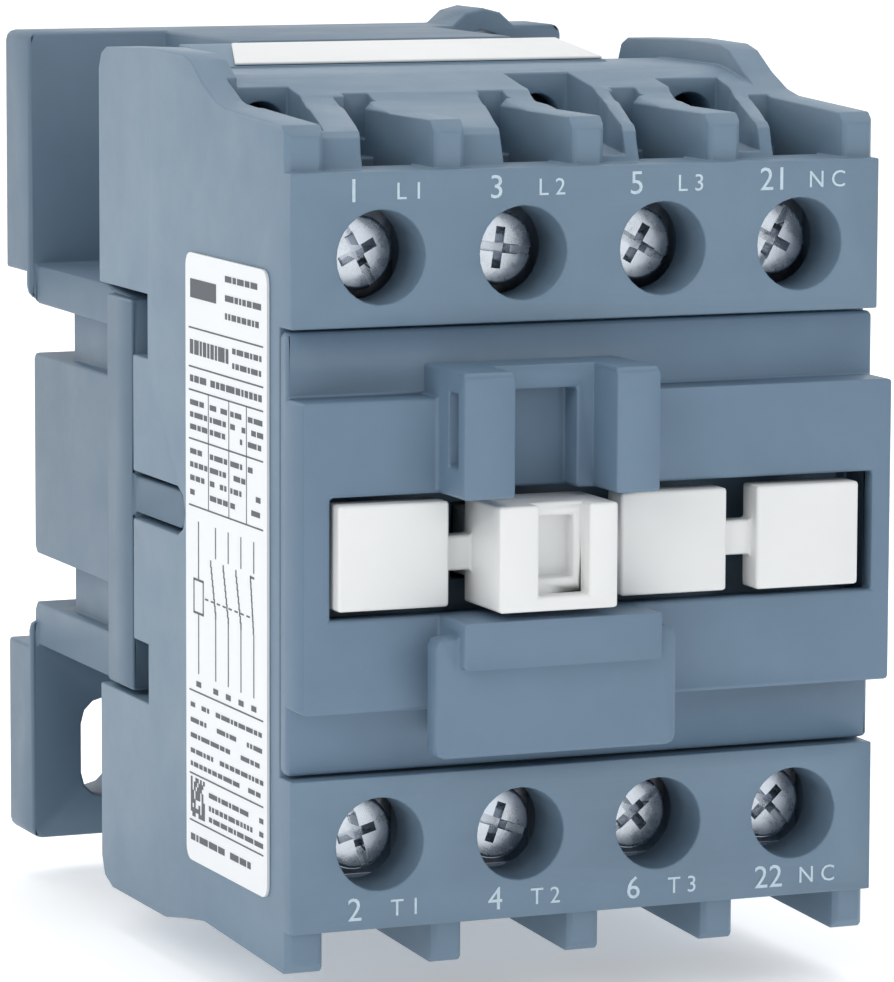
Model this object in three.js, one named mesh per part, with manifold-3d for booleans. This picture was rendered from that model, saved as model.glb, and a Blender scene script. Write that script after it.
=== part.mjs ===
// Four-pole contactor for a 35 mm rail: three power poles and one normally closed auxiliary pole.
// Units are millimetres. X is the width, -Y is the front, +Z is up.
// The origin is on the plane where the rail's front face sits, at the middle of the width.
import * as THREE from 'three';
import * as BufferGeometryUtils from 'three/addons/utils/BufferGeometryUtils.js';
import Module from 'manifold-3d';

const wasm = await Module();
wasm.setup();

// ---- driving dimensions -------------------------------------------------
const HALF_W = 28;            // half of the overall width
const WALL_IN = [-24.45, 25.0];            // inner faces of the side walls
const GAP = 0.3;              // clearance between neighbouring pieces
const FRONT_Y = -71.5;        // front face of the terminal panels
const MID_Y = -70.5;          // front face of the mid band
const PANEL_Y = -74.5;        // front face of the raised centre panel
const POST_Y = -80.5;         // front face of the retaining bracket posts
const HOUSING_REAR_Y = -21.6; // rear edge of the front housing
const PART_Y = -30.9;         // parting plane between base and front housing
const FLANGE_Y0 = -1.1, FLANGE_Y1 = 6.1;   // mounting flange, front and rear
const RAIL_TOP = 18.3, RAIL_BOT = -18.4;   // opening for the 35 mm rail
const TOP_Z = 41.5, BOT_Z = -37.4;         // flange ends
const PANEL_TOP = 32.9, PANEL_BOT = -33.2; // terminal panels
const SPLIT_TOP = 19.5, SPLIT_BOT = -19.7; // parting lines of the front cover
const PITCH = 13.3;           // pole pitch
const POLE_X = [0, 1, 2, 3].map(i => -19.65 + PITCH * i);
const RIB = [[-14.3, -11.35], [-1.25, 1.85], [11.85, 15.0]]; // separators between the poles, left and right faces
const RIB_Y = -70.3;          // front of ribs, legs and blocks beside the terminal panels
const RIB_TOP = 37.1;         // top of the ribs
const CELL = [[WALL_IN[0], RIB[0][0]], [RIB[0][1], RIB[1][0]], [RIB[1][1], RIB[2][0]], [RIB[2][1], WALL_IN[1]]];
const TERM_Z = [25.5, -25.7];              // terminal screw rows
const HOLE_R = 4.1;           // screwdriver access holes
const HEAD_R = 3.35, HEAD_Y = -65.8, HEAD_T = 2.4, SHANK_R = 1.95;
const STROKE = 4.8;           // armature and contact carrier travel
const CONTACT_GAP = 3.8;      // open gap of the power contacts
const COIL_X = [-22.2, 5.8, 19.9];         // coil terminal screws

// ---- helpers ------------------------------------------------------------
function solid(geometry) {
  const g = geometry.clone();
  g.deleteAttribute('normal');
  if (g.attributes.uv) g.deleteAttribute('uv');
  const m = BufferGeometryUtils.mergeVertices(g, 1e-5);
  return new wasm.Manifold(new wasm.Mesh({
    numProp: 3,
    vertProperties: new Float32Array(m.attributes.position.array).map(v => Math.round(v * 1e4) / 1e4),
    triVerts: new Uint32Array(m.index.array),
  }));
}
function geometryOf(man) {
  const m = man.getMesh();
  const g = new THREE.BufferGeometry();
  g.setAttribute('position', new THREE.BufferAttribute(new Float32Array(m.vertProperties), 3));
  g.setIndex(new THREE.BufferAttribute(new Uint32Array(m.triVerts), 1));
  g.computeVertexNormals();
  return g;
}
const box = (x0, x1, y0, y1, z0, z1) => {
  const g = new THREE.BoxGeometry(x1 - x0, y1 - y0, z1 - z0);
  g.translate((x0 + x1) / 2, (y0 + y1) / 2, (z0 + z1) / 2);
  return solid(g);
};
function extrude(points, depth) {
  const s = new THREE.Shape(points.map(p => new THREE.Vector2(p[0], p[1])));
  return new THREE.ExtrudeGeometry(s, { depth, bevelEnabled: false, curveSegments: 8 });
}
// outline in (y, z), pulled along X
function prismX(points, x0, x1) {
  const g = extrude(points, x1 - x0);
  g.applyMatrix4(new THREE.Matrix4().set(0, 0, 1, x0, 1, 0, 0, 0, 0, 1, 0, 0, 0, 0, 0, 1));
  return solid(g);
}
// outline in (x, z), pulled along Y
function prismY(points, y0, y1) {
  const g = extrude(points.map(p => [p[1], p[0]]), y1 - y0);
  g.applyMatrix4(new THREE.Matrix4().set(0, 1, 0, 0, 0, 0, 1, y0, 1, 0, 0, 0, 0, 0, 0, 1));
  return solid(g);
}
// outline in (x, y), pulled along Z
function prismZ(points, z0, z1) {
  const g = extrude(points, z1 - z0);
  g.translate(0, 0, z0);
  return solid(g);
}
const cylY = (r, x, z, y0, y1, seg = 20) => {
  const g = new THREE.CylinderGeometry(r, r, y1 - y0, seg);
  g.translate(x, (y0 + y1) / 2, z);
  return solid(g);
};
const cylZ = (r, x, y, z0, z1, seg = 20) => {
  const g = new THREE.CylinderGeometry(r, r, z1 - z0, seg);
  g.rotateX(Math.PI / 2);
  g.translate(x, y, (z0 + z1) / 2);
  return solid(g);
};
const rounded = (x0, x1, z0, z1, r, n = 3) => {
  const pts = [];
  for (const [cx, cz, a0] of [[x1 - r, z1 - r, 0], [x0 + r, z1 - r, 90], [x0 + r, z0 + r, 180], [x1 - r, z0 + r, 270]]) {
    for (let i = 0; i <= n; i++) {
      const a = (a0 + 90 * i / n) * Math.PI / 180;
      pts.push([cx + r * Math.cos(a), cz + r * Math.sin(a)]);
    }
  }
  return pts;
};
// closed coil spring along an axis, square wire
class Helix extends THREE.Curve {
  constructor(r, length, turns) { super(); this.r = r; this.l = length; this.t = turns; }
  getPoint(u, target = new THREE.Vector3()) {
    const a = u * this.t * 2 * Math.PI;
    return target.set(this.r * Math.cos(a), this.r * Math.sin(a), this.l * u);
  }
}
function spring(r, wire, length, turns, stepsPerTurn) {
  const h = wire / 2;
  const s = new THREE.Shape([[-h, -h], [h, -h], [h, h], [-h, h]].map(p => new THREE.Vector2(p[0], p[1])));
  return new THREE.ExtrudeGeometry(s, {
    steps: Math.round(turns * stepsPerTurn), bevelEnabled: false,
    extrudePath: new Helix(r - h, length, turns),
  });
}
const group = new THREE.Group();
group.name = 'contactor';
function add(name, shape, color, roughness = 0.6, metalness = 0) {
  const geometry = shape.isBufferGeometry ? shape : geometryOf(shape);
  const mesh = new THREE.Mesh(geometry, new THREE.MeshStandardMaterial({ color, roughness, metalness }));
  mesh.name = name;
  group.add(mesh);
  return mesh;
}
const BODY = 0x6f879b, WHITE = 0xf0f0ee, ZINC = 0xb8bcc2, COPPER = 0xb4764c, STEEL = 0x8d9096, DARK = 0x30353c;

// ---- base with mounting flanges ------------------------------------------
{
  // middle block with the rail seat, seen from the side
  const side = [
    [PART_Y + GAP, -18.1], [0, -18.1], [0, -14.6], [-0.6, -13.9], [-8.2, -13.8], [-8.2, -9.1],
    [-0.5, -9.1], [0, -8.6], [0, 10.0], [-0.5, 10.5], [-8.2, 10.5], [-8.2, 15.3], [-1.2, 15.4], [0, 16.4],
    [0, 19.0], [-22.5, 19.0], [PART_Y + GAP, 18.4],
  ];
  let b = prismX(side, -27.3, 27.3);
  // shallow bands in the sides, level with the rail notches
  for (const s of [-1, 1]) for (const [z0, z1] of [[-13.8, -9.1], [10.5, 15.3]])
    b = b.subtract(box(s < 0 ? -29 : 26.0, s < 0 ? -26.0 : 29, -22.5, -7, z0, z1));
  b = b.add(box(-HALF_W, HALF_W, PART_Y + GAP, -23.8, -18.1, 18.4));
  // upper flange with the mounting lug, lower flange
  const lug = [];
  for (let i = 0; i <= 8; i++) { const a = (200 - 220 * i / 8) * Math.PI / 180; lug.push([19.6 + 4.0 * Math.cos(a), 39.2 + 4.0 * Math.sin(a)]); }
  b = b.add(prismY(rounded(-HALF_W, HALF_W, 15.8, TOP_Z, 1.0), FLANGE_Y0, FLANGE_Y1)
    .subtract(box(-30, 30, 0, 9, 10, RAIL_TOP)));
  b = b.add(prismY([[14, 36], ...lug, [26, 36]], FLANGE_Y0, FLANGE_Y1));
  b = b.add(prismY(rounded(-HALF_W, HALF_W, BOT_Z, -15.8, 1.0), FLANGE_Y0, FLANGE_Y1)
    .subtract(box(-30, 30, 0, 9, RAIL_BOT, -10)));
  // towers that join flange and front housing
  b = b.add(box(-14, 14, HOUSING_REAR_Y + GAP, FLANGE_Y0 + 0.5, 18, TOP_Z));
  b = b.add(box(-14, 14, HOUSING_REAR_Y + GAP, FLANGE_Y0 + 0.5, -36.4, -18));
  // snap tongues that reach into the side walls of the front housing
  for (const s of [-1, 1]) {
    const t = [[-29, -1.3], [-42.7, -1.3], [-43.9, -0.7], [-44.4, 0.4], [-43.9, 1.5], [-42.7, 2.1], [-29, 2.1]].reverse();
    b = b.add(prismX(t, s < 0 ? -HALF_W + 0.35 : 25.9, s < 0 ? -25.9 : HALF_W - 0.35));
  }
  // coil well
  b = b.subtract(box(-24.6, 24.6, -33, -10.3, -16.4, 17.3));
  b = b.add(box(-24.7, -21.6, -26, -10, -16.6, 17.5)).add(box(21.6, 24.7, -26, -10, -16.6, 17.5));
  b = b.subtract(box(-21.4, 21.4, -26, -2.6, -8.5, 8.5));
  // hollow towers, open to the front
  b = b.subtract(box(-12, 12, -24, -3.2, 21, 39.4));
  b = b.subtract(box(-12, 12, -24, -3.2, -34.4, -20));
  // lead channel from the coil well into the upper tower
  b = b.subtract(box(-10, 10, -24, -19, 15, 22));
  // rail hook: a lip behind the rail's upper edge
  b = b.add(prismX([[1.3, 16.4], [2.2, 16.0], [4.6, 17.2], [4.6, 18.6], [1.3, 18.6]], -16, 16));
  // latch channel, open to the rear and below
  b = b.subtract(box(-8.3, 8.3, 1.0, 3.6, -45, -15));
  b = b.subtract(box(-6.3, 6.3, 3.3, 9, -45, -15));
  b = b.add(box(-2.2, 2.2, 0.6, 4.6, -34.2, -32.6));
  // mounting slot low on the left, mounting hole high on the right
  const slot = [];
  for (let i = 0; i <= 6; i++) { const a = Math.PI * i / 6; slot.push([-20.4 + 2.5 * Math.cos(a), -26.3 + 2.5 * Math.sin(a)]); }
  for (let i = 0; i <= 6; i++) { const a = Math.PI + Math.PI * i / 6; slot.push([-20.4 + 2.5 * Math.cos(a), -31.2 + 2.5 * Math.sin(a)]); }
  b = b.subtract(prismY(slot, -4, 9));
  b = b.subtract(cylY(2.4, 19.6, 38.6, -4, 9, 16));
  // weight saving pockets in the back of the flanges
  for (const [x0, x1, z0, z1] of [[-25.6, -10.5, 21, 39], [10.5, 25.6, 21, 33.6], [11, 25.6, -34.8, -21]])
    b = b.subtract(box(x0, x1, 1.6, 9, z0, z1));
  add('base', b, BODY);
}

// ---- front housing ----------------------------------------------------------
const sideOutline = [
  [-21.6, 39.3], [-22.3, 40.7], [-23.7, 41.3], [-36, 41.8], [-44.4, 41.7], [-46.5, 41.2], [-49.6, 39.4], [-52.9, 38.0],
  [-55.4, 37.5], [-62, 37.2], [-69.3, 36.9], [-71.3, 34.9], [FRONT_Y, 34.9],
  [FRONT_Y, -35.2], [-71.3, -35.2], [-69.5, -37.0], [-59, -36.6], [-49.5, -36.2], [-44.5, -36.9], [-39.3, -37.8], [-24.6, -37.8], [-22.4, -37.0], [-21.6, -35.2],
  [-21.6, -18.6], [-34.9, -18.6], [-34.9, -13.1], [-30.9, -13.1], [-30.9, 13.4], [-34.9, 13.4], [-34.9, 19.3], [-21.6, 19.3],
];
// roof between the side walls: rear roof, ramp, slanted fronts of the blocks, ledge of the terminal panels
const roofCut = [
  [-20, 38.9], [-30.6, 38.9], [-31.0, 39.75], [-44.5, 39.75], [-46.6, 39.4], [-50, 38.7], [-55, 37.8], [-60, 37.1], [-65, 36.5], [-67.5, 36.1],
  [-68.2, 35.6], [-69.2, PANEL_TOP], [-76, PANEL_TOP], [-76, 46], [-20, 46],
].reverse();
// wire slots of the upper terminals: left edges in (x, y), from the roof to the front
const SLOT = [
  [[-16.65, -52.6], [-17.3, -56.4], [-18.2, -60.0], [-19.4, -64.7], [-20.45, -68.6], [-20.45, -75]],
  [[-2.75, -52.6], [-3.5, -55.4], [-4.95, -60.4], [-6.3, -64.7], [-7.25, -68.2], [-7.25, -75]],
  [[10.2, -52.6], [9.1, -57.0], [7.3, -62.6], [6.2, -66.1], [5.7, -68.4], [5.7, -75]],
  [[23.2, -54.6], [22.2, -57.0], [20.6, -62.1], [18.95, -67.0], [18.75, -68.6], [18.75, -75]],
];
// screwdriver channels to the coil terminals: outlines in (x, y)
const CHANNEL = [
  [[-25.4, -49.0], [-19.65, -49.0], [-19.75, -52.6], [-20.6, -56.4], [-22.2, -63.1], [-23.2, -66.8], [WALL_IN[0], -66.8], [WALL_IN[0], -56.0], [-25.4, -54.0]],
  [[2.6, -46.0], [8.9, -46.0], [9.15, -50.6], [8.5, -54.7], [6.75, -60.1], [5.6, -64.0], [4.4, -68.3], [4.4, -75], [RIB[1][1], -75], [RIB[1][1], -54.8], [2.6, -51.6]],
  [[16.5, -48.9], [22.65, -48.9], [22.2, -53.0], [20.0, -59.5], [18.2, -65.3], [17.5, -68.3], [17.5, -75], [RIB[2][1], -75], [RIB[2][1], -57.0], [16.5, -51.6]],
];
{
  let h = prismX(sideOutline, -HALF_W, HALF_W);
  h = h.subtract(prismX(roofCut, WALL_IN[0], WALL_IN[1]));
  // rounded fronts of the side walls above the panels
  for (const [a, c] of [[-HALF_W, WALL_IN[0]], [WALL_IN[1], HALF_W]]) {
    h = h.subtract(prismZ([[a, -76], [c, -76], [c, -69.85], [c - 0.45, RIB_Y], [a + 0.45, RIB_Y], [a, -69.85]], PANEL_TOP, 45));
  }
  // platform that carries the marker on the roof
  h = h.add(prismX([[-35.5, 38], [-35.5, 39.95], [-24.2, 41.2], [-21.6, 41.3], [-21.6, 38]].reverse(), -20.1, 17.5));
  // ribs
  const ribSide = [[-57.5, 30], [-57.5, RIB_TOP], [-69.2, RIB_TOP], [-71, 35.3], [-71, 30]].reverse();
  for (const [a, c] of RIB) {
    const plan = [[a, -50], [a, -69.85], [a + 0.45, RIB_Y], [c - 0.45, RIB_Y], [c, -69.85], [c, -50]];
    h = h.add(prismX(ribSide, a - 1, c + 1).intersect(prismZ(plan, 31, 45)));
  }
  // rear hollow that takes armature, coil head and base
  h = h.subtract(box(-25.2, 25.2, -49.2, -20, -18.6, 19.3));
  h = h.subtract(box(-23.6, 23.6, -49.2, -20, 18, 30.6));
  h = h.subtract(box(-23.6, 23.6, -44.2, -20, 18, 38.2));
  h = h.subtract(box(-25.4, -20, -44.2, -25.0, 30.6, 38.2));
  h = h.subtract(box(-23.6, 23.6, -49.2, -20, -35.2, -18));
  // rear walls beside the towers of the base
  for (const [x0, x1] of [[-24.5, -14.4], [14.4, 24.5]]) for (const [z0, z1] of [[19.9, 38.6], [-35.6, -19.2]])
    h = h.add(box(x0, x1, -23.2, -21.6, z0, z1));
  // room for the base's side bars and the notches around them
  h = h.subtract(box(-29, 29, -30.9, -20, -18.6, 19.3));
  h = h.subtract(box(-29, 29, -34.9, -20, -18.6, -13.1));
  h = h.subtract(box(-29, 29, -34.9, -20, 13.4, 19.3));
  // slots in the side walls for the snap tongues
  for (const s of [-1, 1]) {
    const t = [[-29, -1.8], [-42.9, -1.8], [-44.3, -1.1], [-44.9, 0.4], [-44.3, 1.9], [-42.9, 2.6], [-29, 2.6]].reverse();
    h = h.subtract(prismX(t, s < 0 ? -30 : 24, s < 0 ? -24 : 30));
  }
  // seat of the front cover
  h = h.subtract(box(-30, 30, -80, -68.7, SPLIT_BOT, SPLIT_TOP));
  h = h.subtract(box(-26.3, 26.3, -80, -67.2, -6.2, 6.2));
  // arc chambers and the slot in which the contact carrier slides
  for (const x of POLE_X) {
    h = h.subtract(box(x - 5.3, x + 5.3, -66, -51.1, -17.2, 17.2));
    // passages for the fixed contacts
    h = h.subtract(box(x - 4.4, x + 4.4, -65.2, -51.1, -22.2, 22.2));
  }
  h = h.subtract(box(-23.4, 23.4, -66, -45, -5.2, 5.2));
  h = h.subtract(box(-11.3, -2.2, -70, -60, -3.4, 3.4));
  // terminal chambers, screw holes and screw wells
  for (let i = 0; i < 4; i++) {
    const x = POLE_X[i];
    h = h.subtract(box(CELL[i][0], CELL[i][1], -65.2, -56.3, TERM_Z[0] - 4.9, PANEL_TOP));
    h = h.subtract(box(CELL[i][0], CELL[i][1], -65.2, -56.3, PANEL_BOT, TERM_Z[1] + 4.9));
    for (const z of TERM_Z) {
      h = h.subtract(cylY(HOLE_R, x, z, -74, -64, 32));
      h = h.subtract(cylY(2.5, x, z, -57, -50.9, 12));
    }
  }
  // wire slots at the top, right of each block
  for (let i = 0; i < 4; i++) {
    const right = CELL[i][1];
    h = h.subtract(prismZ([[right, -75], [right, SLOT[i][0][1]], ...SLOT[i]].reverse(), PANEL_TOP, 45));
    if (i === 3) continue;
    // bevelled upper left edge of the rib and the dark gap at its rear end
    h = h.subtract(prismY([[right - 1, RIB_TOP], [right, RIB_TOP], [right + 1.9, 39.2], [right + 1.9, 41], [right - 1, 41]], -75, -53.2));
    h = h.subtract(box(right - 1.3, right + 1.1, -54.0, -51.8, 34.4, 42));
  }
  // screwdriver channels and the holes at their ends
  CHANNEL.forEach((c, i) => {
    h = h.subtract(prismZ(c.slice().reverse(), 33.6, 45));
    h = h.subtract(prismZ(c.slice().reverse(), 31.8, 34).intersect(box(-30, 30, -55.2, -40, 31.8, 33.6)));
    h = h.subtract(cylY(2.5, COIL_X[i], 35.1, c[0][1] - 1, -43, 24));
  });
  // wire entries at the bottom, and the rounded fronts of the legs between them
  const foot = [[30, -76], [30, -69.85], [HALF_W, -69.85], [HALF_W - 0.45, RIB_Y]];
  for (let i = 3; i >= 0; i--) {
    const l = CELL[i][0], r = CELL[i][1];
    foot.push([r + 0.45, RIB_Y], [r, -69.85], [r, -52.5], [l, -52.5], [l, -69.85], [l - 0.45, RIB_Y]);
  }
  foot.push([-HALF_W + 0.45, RIB_Y], [-HALF_W, -69.85], [-30, -69.85], [-30, -76]);
  h = h.subtract(prismZ(foot, -40, PANEL_BOT));
  add('front_housing', h, BODY);
}

// ---- front cover with the retaining brackets --------------------------------
{
  let c = prismY(rounded(-HALF_W, HALF_W, SPLIT_BOT + GAP, SPLIT_TOP - GAP, 0.3, 1), MID_Y, -69.0);
  c = c.add(box(-HALF_W, HALF_W, PANEL_Y, -69.0, -13.5, 13.5));
  c = c.subtract(box(-26.4, 26.4, -73.0, -68, -11.8, 11.8));
  // upper bracket
  c = c.add(box(-15.6, 2.7, -75.5, -71.0, 5.3, 16.2));
  c = c.add(prismX([[-80.5, 5.3], [-74, 5.3], [-74, 16.2], [-80.1, 16.2], [-80.5, 15.8]].reverse(), -15.6, -10.9));
  c = c.add(prismX([[-80.5, 5.3], [-74, 5.3], [-74, 16.2], [-80.1, 16.2], [-80.5, 15.8]].reverse(), -1.4, 2.7));
  c = c.subtract(box(-10.9, -3.0, -77, -73.0, 4.0, 14.1));
  // side grooves of the posts
  c = c.subtract(box(-17, -14.2, -78.9, -76.9, 7.9, 14.3));
  c = c.subtract(box(1.3, 4.0, -78.9, -76.9, 7.9, 14.3));
  // lower bracket, a hook plate standing off the panel
  c = c.add(prismY(rounded(-17.5, 5.1, -17.2, -6.7, 0.8, 2), -79.0, -76.6));
  c = c.add(box(-15.4, 3.2, -80.2, -73.2, -9.4, -5.3));
  c = c.add(box(-14.6, -13.0, -77.5, -71, -16.6, -6.8)).add(box(0.8, 2.4, -77.5, -71, -16.6, -6.8));
  // window for the marker strip
  c = c.subtract(box(-25.6, 26.2, -76.4, -68, -5.3, 5.3));
  add('front_cover', c, BODY);
}

// ---- labels -----------------------------------------------------------------
add('side_label', (() => {
  const pts = rounded(-66.5, -46.0, -30.9, 24.2, 1.2, 4);
  return prismX(pts, -HALF_W - 0.3, -HALF_W - 0.05);
})(), WHITE, 0.5);
add('top_marker', prismX([[-35.3, 40.02], [-24.4, 41.23], [-24.4, 41.5], [-35.3, 40.29]], -20, 18)
  .intersect(prismZ([[-19.8, -36], [17.2, -36], [17.2, -24], [-15.6, -24], [-15.9, -24.6]], 39, 43)), WHITE, 0.5);

// ---- magnet -----------------------------------------------------------------
const LEG = [[-20, -14.6], [-5.5, 5.5], [14.6, 20]];
{
  let k = box(-20, 20, -12.6, -4.6, -7.9, 7.9);
  for (const [a, b] of LEG) k = k.add(box(a, b, -31.9 + (a === -5.5 ? 0.2 : 0), -10, -7.9, 7.9));
  // grooves for the shading rings in the outer pole faces
  for (const d of [-1, 1]) {
    k = k.subtract(box(Math.min(16.1 * d, 17.5 * d), Math.max(16.1 * d, 17.5 * d), -33, -30.2, -9, 9));
  }
  add('fixed_core', k, STEEL, 0.45, 0.8);
  for (const [n, d] of [['shading_ring_left', -1], ['shading_ring_right', 1]]) {
    const r = (p, q, y0, y1, z0, z1) => box(Math.min(p * d, q * d), Math.max(p * d, q * d), y0, y1, z0, z1);
    add(n, r(16.4, 21.2, -31.5, -30.5, -9.2, 9.2).subtract(r(17.2, 20.3, -33, -29, -8.2, 8.2)), COPPER, 0.4, 0.9);
  }
  add('core_pad', box(-19, 19, -4.3, -2.9, -7.5, 7.5), 0x222222, 0.9);
  // armature, E-shaped, open gap equal to the stroke
  let a = box(-20, 20, -46.0, -41.0, -7.9, 7.9);
  for (const [p, q] of LEG) a = a.add(box(p, q, -42, -31.9 - STROKE - 0.1, -7.9, 7.9));
  a = a.subtract(cylZ(1.3, 0, -44.2, -9, 9, 10));
  add('armature', a, STEEL, 0.45, 0.8);
}

// ---- coil -------------------------------------------------------------------
{
  let b = box(-13.9, 13.9, -30.6, -29.4, -15.9, 15.9).add(box(-13.9, 13.9, -14.4, -13.2, -15.9, 15.9));
  b = b.add(box(-7.2, 7.2, -30, -14, -9.6, 9.6));
  b = b.subtract(box(-5.85, 5.85, -33, -12, -8.2, 8.2));
  add('coil_bobbin', b, 0xd8d4c8, 0.6);
  let w = prismY(rounded(-13.2, 13.2, -15.2, 15.2, 2.5, 3), -29.1, -14.7);
  w = w.subtract(box(-7.5, 7.5, -33, -10, -9.9, 9.9));
  add('coil_winding', w, 0x9a4a2c, 0.45, 0.3);
}
// coil terminals behind the screwdriver channels
{
  let t = box(-25.0, -19.4, -38.4, -37.2, 31.9, 37.8);
  t = t.add(box(-25.0, -19.4, -38.4, -26.5, 31.0, 32.0)).subtract(cylY(2.0, COIL_X[0], 35.2, -40, -36, 12));
  add('coil_terminal_a1', t, ZINC, 0.35, 0.9);
  let u = box(3.0, 22.7, -38.4, -37.2, 31.9, 37.8).add(box(17.1, 22.7, -38.4, -26.5, 31.0, 32.0));
  u = u.subtract(cylY(2.0, COIL_X[1], 35.2, -40, -36, 12)).subtract(cylY(2.0, COIL_X[2], 35.2, -40, -36, 12));
  add('coil_terminal_a2', u, ZINC, 0.35, 0.9);
}
function screwShape(x, z, yHead, headR, headT, shankR, yTip, seg) {
  let s = cylY(headR, x, z, yHead, yHead + headT, seg).add(cylY(shankR, x, z, yHead + headT - 0.2, yTip, 12));
  const l = headR * 0.62, w = 0.45;
  s = s.subtract(box(x - l, x + l, yHead - 1, yHead + 1.3, z - w, z + w));
  s = s.subtract(box(x - w, x + w, yHead - 1, yHead + 1.3, z - l, z + l));
  return s;
}
['coil_screw_a1', 'coil_screw_a2', 'coil_screw_a2_twin'].forEach((n, i) =>
  add(n, screwShape(COIL_X[i], 35.2, -41.3, 2.7, 2.0, 1.6, -33.5, 14), ZINC, 0.3, 0.9));

// ---- power and auxiliary terminals ---------------------------------------------
const BAR_T = 1.6;
for (let i = 0; i < 4; i++) for (const k of [0, 1]) {
  const x = POLE_X[i], s = k === 0 ? 1 : -1, row = k === 0 ? 'upper' : 'lower', nc = i === 3;
  const zt = TERM_Z[k], zo = s > 0 ? zt + 5.4 : zt - 5.4;
  const yT = -58.2, yA = nc ? -64.3 : -53.2;   // front faces in the terminal and in the arc chamber
  const zr = s * 18.2;
  // bent bar, outline in (y, z)
  const B = (y0, y1, z0, z1, x0 = x - 3.9, x1 = x + 3.9) => box(x0, x1, Math.min(y0, y1), Math.max(y0, y1), Math.min(z0, z1), Math.max(z0, z1));
  let t = B(yT, yT + BAR_T, zr - s * 0.8, zo);
  t = t.add(B(Math.min(yT, yA), Math.max(yT, yA) + BAR_T, zr - s * 0.8, zr + s * 0.8));
  t = t.add(B(yA, yA + BAR_T, s * 9.3, zr + s * 0.8, x - 2.6, x + 2.6));
  t = t.add(nc ? cylY(2.1, x, s * 11.6, yA + BAR_T - 0.1, yA + BAR_T + 0.8, 14) : cylY(2.1, x, s * 11.6, yA - 0.8, yA + 0.1, 14));
  t = t.subtract(cylY(SHANK_R + 0.35, x, zt, yT - 2, yT + BAR_T + 2, 12));
  add(`terminal_${row}_${i + 1}`, t, COPPER, 0.35, 0.9);
  // saddle clamp
  let c = B(HEAD_Y + HEAD_T + 0.3, HEAD_Y + HEAD_T + 1.7, zt - 4.3, zt + 4.3, x - 4.4, x + 4.4);
  c = c.subtract(cylY(SHANK_R + 0.3, x, zt, -70, -58, 12));
  add(`clamp_${row}_${i + 1}`, c, ZINC, 0.35, 0.9);
  add(`screw_${row}_${i + 1}`, screwShape(x, zt, HEAD_Y, HEAD_R, HEAD_T, SHANK_R, -55.2, 18), ZINC, 0.3, 0.9);
}

// ---- moving contacts --------------------------------------------------------------
{
  let m = box(-22.6, 22.6, -65.6, -53.2, -4.6, 4.6);
  m = m.add(box(-12, 12, -54, -48.3, -4.6, 4.6));
  m = m.add(box(-8, 8, -48.3, -46.3, -15.6, 15.6));
  // ears that hold the armature pin
  m = m.add(box(-8, 8, -47, -42.6, 8.2, 9.4)).add(box(-8, 8, -47, -42.6, -9.4, -8.2));
  m = m.subtract(cylZ(1.3, 0, -44.2, -12, 12, 10));
  for (let i = 0; i < 4; i++) m = m.subtract(box(POLE_X[i] - 3.2, POLE_X[i] + 3.2, -64.3, i === 3 ? -55.4 : -58.3, -6, 6));
  add('contact_carrier', m, 0x3a4048, 0.6);
  add('armature_pin', cylZ(1.0, 0, -44.2, -9.5, 9.5, 10), STEEL, 0.3, 0.9);
}
for (let i = 0; i < 4; i++) {
  const x = POLE_X[i], nc = i === 3;
  const y0 = nc ? -60.9 : -59.9, t = 1.2;
  let b = box(x - 2.4, x + 2.4, y0, y0 + t, -13.9, 13.9);
  for (const z of [-11.6, 11.6]) b = b.add(nc ? cylY(1.9, x, z, y0 - 0.95, y0 + 0.1, 14) : cylY(1.9, x, z, y0 + t - 0.1, y0 + t + 0.9, 14));
  add(`contact_bridge_${i + 1}`, b, COPPER, 0.35, 0.9);
  const len = nc ? 3.4 : 3.6;
  const g = spring(2.3, 0.45, len, 3, 9);
  g.rotateX(-Math.PI / 2);                      // coil axis along +Y
  g.translate(x, nc ? y0 + t + 0.4 : -64.0 + 0.1, 0);
  add(`contact_spring_${i + 1}`, g, STEEL, 0.35, 0.9);
}
for (const [n, z] of [['return_spring_upper', 12.65], ['return_spring_lower', -12.65]]) {
  const g = spring(2.8, 0.6, 14.4, 6, 10);
  g.rotateX(-Math.PI / 2);
  g.translate(0, -45.65, z);
  add(n, g, STEEL, 0.35, 0.9);
}

// ---- marker strip carried by the contact carrier ------------------------------------
{
  const backY = -72.4;
  let s = box(-25.2, -14.9, -75.5, backY, -4.5, 4.7);
  s = s.add(box(1.3, 11.5, -75.5, backY, -4.5, 4.6));
  s = s.add(box(14.4, 24.4, -75.5, backY, -4.6, 4.6));
  s = s.add(box(-15.5, 15, -74.2, backY, -1.6, 1.5));
  s = s.add(prismY([[-12.3, -4.6], [-1.2, -4.6], [-1.2, 4.6], [-12.3, 4.6]], -80.5, backY));
  s = s.subtract(box(-8.6, -3.9, -82, -78.6, -3.3, 6));
  s = s.subtract(box(-7.9, -4.6, -82, -76.8, -2.0, 3.4));
  s = s.add(box(-10.8, -2.7, backY - 0.5, -66.0, -3.0, 3.0));
  add('marker_strip', s, WHITE, 0.5);
}

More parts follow.
